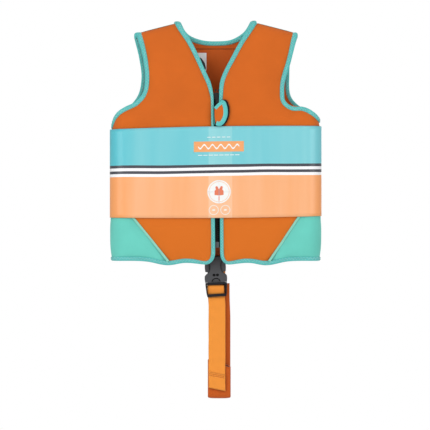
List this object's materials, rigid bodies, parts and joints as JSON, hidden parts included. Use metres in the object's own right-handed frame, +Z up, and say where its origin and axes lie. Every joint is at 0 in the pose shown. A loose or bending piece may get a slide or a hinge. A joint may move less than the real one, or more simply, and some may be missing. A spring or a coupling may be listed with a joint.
{
  "type": "child's swim vest",
  "caption": "Child's sleeveless neoprene float vest with a front zip, safety tab, side-release crotch strap and a card display sleeve.",
  "frame": {"origin": "inside the vest at the middle, level with the underside of the shoulders, where a hanger's neck or a child's collarbone is", "axes": "+Z up, -Y out of the zip front, +X towards the wearer's left"},
  "size_m": [0.3148, 0.0596, 0.5571],
  "materials": {
    "neoprene": "knit-faced neoprene",
    "side_neoprene": "knit-faced neoprene",
    "lining": "knit lining",
    "foam": "closed-cell buoyancy foam",
    "binding": "folded knit tape",
    "seam_thread": "flatlock stitching",
    "zip_tape": "woven tape",
    "zip_plastic": "moulded",
    "hook_and_loop": "hook and loop",
    "card": "printed and varnished",
    "buckle_plastic": "moulded, satin",
    "webbing": "ribbed webbing",
    "comfort_neoprene": "folded neoprene",
    "anchor_fabric": "woven patch",
    "label": "woven satin"
  },
  "bodies": {
    "vest": {"front_panel_right": "neoprene", "front_panel_left": "neoprene", "back_panel": "neoprene", "side_panel_right": "side_neoprene", "side_panel_left": "side_neoprene", "front_lining_right": "lining", "front_lining_left": "lining", "back_lining": "lining", "front_foam_right": "foam", "front_foam_left": "foam", "back_foam": "foam", "neck_binding": "binding", "hem_binding": "binding", "armhole_binding_right": "binding", "armhole_binding_left": "binding", "closure_tab_root": "binding", "side_seam_right": "seam_thread", "side_seam_left": "seam_thread", "zip_tape_right": "zip_tape", "zip_tape_left": "zip_tape", "neck_label": "label", "front_anchor_patch": "anchor_fabric", "back_anchor_patch": "anchor_fabric", "zip_teeth_right": "zip_plastic", "zip_teeth_left": "zip_plastic", "zip_bottom_box": "zip_plastic", "zip_top_stops": "zip_plastic", "closure_loop_patch": "hook_and_loop", "back_strap_root": "webbing"},
    "sleeve": {"sleeve_wrap": "card", "sleeve_glue_flap": "card"},
    "zip_slider": {"zip_slider": "zip_plastic"},
    "zip_pull": {"zip_pull": "zip_plastic"},
    "closure_tab": {"closure_tab": "neoprene", "closure_tab_binding": "binding", "closure_hook_pad": "hook_and_loop"},
    "crotch_strap": {"crotch_strap": "webbing", "comfort_pad": "comfort_neoprene", "buckle_male": "buckle_plastic", "adjuster_bar": "buckle_plastic"},
    "buckle_socket": {"buckle_female": "buckle_plastic", "female_webbing_tab": "webbing"},
    "latch_right": {"latch_arm_right": "buckle_plastic"},
    "latch_left": {"latch_arm_left": "buckle_plastic"},
    "strap_tail": {"strap_tail": "webbing", "strap_tail_hem": "webbing"}
  },
  "joints": [
    {"name": "sleeve_slide", "type": "slide", "parent": "vest", "child": "sleeve", "axis": [0, 0, -1], "range_m": [0, 0.42]},
    {"name": "zip_slide", "type": "slide", "parent": "vest", "child": "zip_slider", "axis": [0, 0, -1], "range_m": [0, 0.205]},
    {"name": "pull_hinge", "type": "hinge", "parent": "zip_slider", "child": "zip_pull", "pos_m": [0, -0.01975, -0.0898], "axis": [-1, 0, 0], "range_deg": [0, 135]},
    {"name": "tab_hinge", "type": "hinge", "parent": "vest", "child": "closure_tab", "pos_m": [-0.0035, -0.0289, -0.115], "axis": [0, 0, -1], "range_deg": [0, 140]},
    {"name": "strap_swing", "type": "hinge", "parent": "vest", "child": "crotch_strap", "pos_m": [0, 0.0041, -0.312], "axis": [1, 0, 0], "range_deg": [-12, 12], "deforming": ["back_strap_root"]},
    {"name": "buckle_release", "type": "slide", "parent": "crotch_strap", "child": "buckle_socket", "axis": [-0.0523, 0, 0.9986], "range_m": [0, 0.034], "deforming": ["female_webbing_tab", "latch_arm_right", "latch_arm_left"]},
    {"name": "latch_right_squeeze", "type": "hinge", "parent": "crotch_strap", "child": "latch_right", "pos_m": [-0.00988, 0, -0.36586], "axis": [0, 1, 0], "range_deg": [0, 8], "stiffness_Nm_per_rad": 0.5},
    {"name": "latch_left_squeeze", "type": "hinge", "parent": "crotch_strap", "child": "latch_left", "pos_m": [0.0073, 0, -0.36496], "axis": [0, -1, 0], "range_deg": [0, 8], "stiffness_Nm_per_rad": 0.5},
    {"name": "tail_lift", "type": "hinge", "parent": "crotch_strap", "child": "strap_tail", "pos_m": [0, -0.00085, -0.3884], "axis": [-1, 0, 0], "range_deg": [0, 80]}
  ],
  "couplings": [
    {"joint": "latch_left_squeeze", "follows": "latch_right_squeeze", "ratio": 1}
  ]
}
